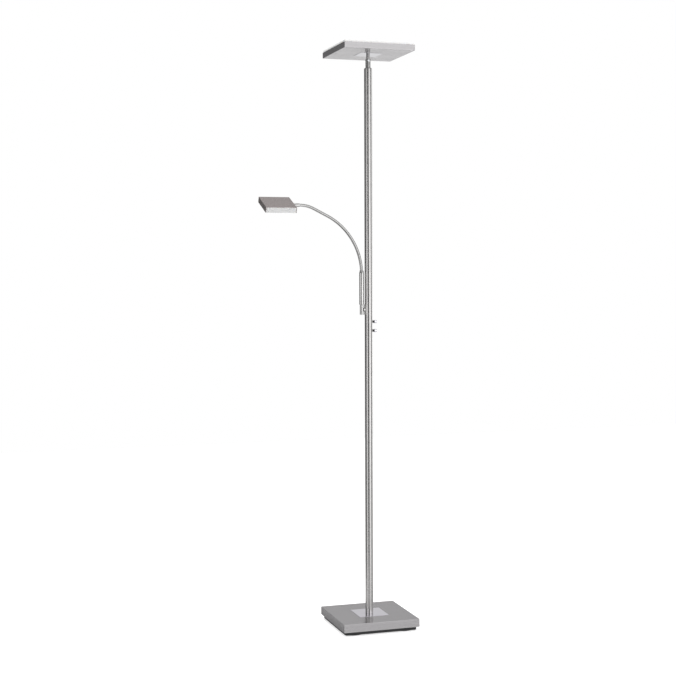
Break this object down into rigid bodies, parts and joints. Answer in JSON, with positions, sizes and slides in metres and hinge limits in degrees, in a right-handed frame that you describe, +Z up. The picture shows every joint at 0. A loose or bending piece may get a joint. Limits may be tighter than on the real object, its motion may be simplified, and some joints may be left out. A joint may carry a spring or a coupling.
{
  "type": "torchiere floor lamp",
  "caption": "Tall floor lamp: flat square uplighter on a tilting knuckle, bent reading arm with a small square head, push buttons on a round pole and a square weighted base.",
  "frame": {"origin": "on the floor, on the pole's axis, at the middle of the square base", "axes": "+Z up along the pole, -Y towards the front, -X the side that the reading arm leaves the pole, +X the side of the push buttons"},
  "size_m": [0.463, 0.2465, 1.806],
  "materials": {
    "brushed_steel": "fine brushed, satin nickel look",
    "turned_steel": "turned and satin nickel plated",
    "polished_chrome": "mirror polished",
    "zinc_steel": "zinc plated",
    "brass": "turned",
    "cast_iron": "black lacquered casting",
    "black_plastic": "fine moulded texture",
    "black_rubber": "matt",
    "white_plastic": "moulded",
    "opal_acrylic": "satin opal",
    "board_aluminium": "white solder mask on the chip side",
    "led_phosphor": "yellow phosphor gel"
  },
  "bodies": {
    "stand": {"base_cover": "brushed_steel", "base_chrome_plate": "polished_chrome", "base_weight": "cast_iron", "base_tray": "black_plastic", "rubber_feet": "black_rubber", "base_screws": "zinc_steel", "led_driver": "white_plastic", "cord_grommet": "black_plastic", "foot_nipple": "brass", "foot_washer": "zinc_steel", "foot_nut": "zinc_steel", "pole_lower": "brushed_steel", "pole_middle": "brushed_steel", "pole_upper": "brushed_steel", "pole_couplers": "brass", "pole_foot_plug": "brass", "pole_top_cap": "brushed_steel", "pole_cable": "black_rubber", "arm_saddle": "brushed_steel", "arm_pin": "turned_steel", "arm_pin_nut": "zinc_steel", "button_collars": "black_plastic", "switch_housings": "black_plastic"},
    "knuckle": {"knuckle_fork": "turned_steel", "knuckle_screw": "zinc_steel", "knuckle_nut": "zinc_steel", "swivel_nut": "zinc_steel"},
    "uplighter": {"knuckle_neck": "turned_steel", "neck_washer": "zinc_steel", "neck_nut": "zinc_steel", "uplight_tray": "brushed_steel", "uplight_chrome_plate": "polished_chrome", "uplight_board": "board_aluminium", "board_spacers": "zinc_steel", "board_screws": "zinc_steel", "uplight_leds": "led_phosphor", "corner_blocks": "white_plastic", "uplight_diffuser": "opal_acrylic"},
    "arm_holder": {"arm_fitting": "turned_steel", "arm_grub_screws": "zinc_steel"},
    "reading_arm": {"arm_sleeve": "turned_steel", "arm_tube": "turned_steel", "arm_ferrule": "turned_steel", "ferrule_nut": "zinc_steel"},
    "reading_head": {"reading_cover": "brushed_steel", "reading_diffuser": "opal_acrylic", "reading_spreader": "board_aluminium", "reading_board": "board_aluminium", "reading_leds": "led_phosphor"},
    "uplight_switch": {"uplight_plunger": "black_plastic", "uplight_button": "polished_chrome"},
    "reading_switch": {"reading_plunger": "black_plastic", "reading_button": "polished_chrome"}
  },
  "joints": [
    {"name": "uplight_turn", "type": "hinge", "parent": "stand", "child": "knuckle", "pos_m": [0, 0, 1.741], "axis": [0, 0, 1], "range_deg": [-170, 170]},
    {"name": "uplight_tilt", "type": "hinge", "parent": "knuckle", "child": "uplighter", "pos_m": [0, 0, 1.763], "axis": [0, 1, 0], "range_deg": [-90, 90]},
    {"name": "arm_tilt", "type": "hinge", "parent": "stand", "child": "arm_holder", "pos_m": [-0.023, 0, 0.994], "axis": [1, 0, 0], "range_deg": [-90, 90]},
    {"name": "arm_turn", "type": "hinge", "parent": "arm_holder", "child": "reading_arm", "pos_m": [-0.023, 0, 1.009], "axis": [0, 0, 1], "range_deg": [-120, 120]},
    {"name": "reading_roll", "type": "hinge", "parent": "reading_arm", "child": "reading_head", "pos_m": [-0.2435, 0, 1.316], "axis": [1, 0, 0], "range_deg": [-112, 68]},
    {"name": "uplight_press", "type": "slide", "parent": "stand", "child": "uplight_switch", "axis": [-1, 0, 0], "range_m": [0, 0.0025], "stiffness_N_per_m": 400, "springref_m": -0.003},
    {"name": "reading_press", "type": "slide", "parent": "stand", "child": "reading_switch", "axis": [-1, 0, 0], "range_m": [0, 0.0025], "stiffness_N_per_m": 400, "springref_m": -0.003}
  ]
}
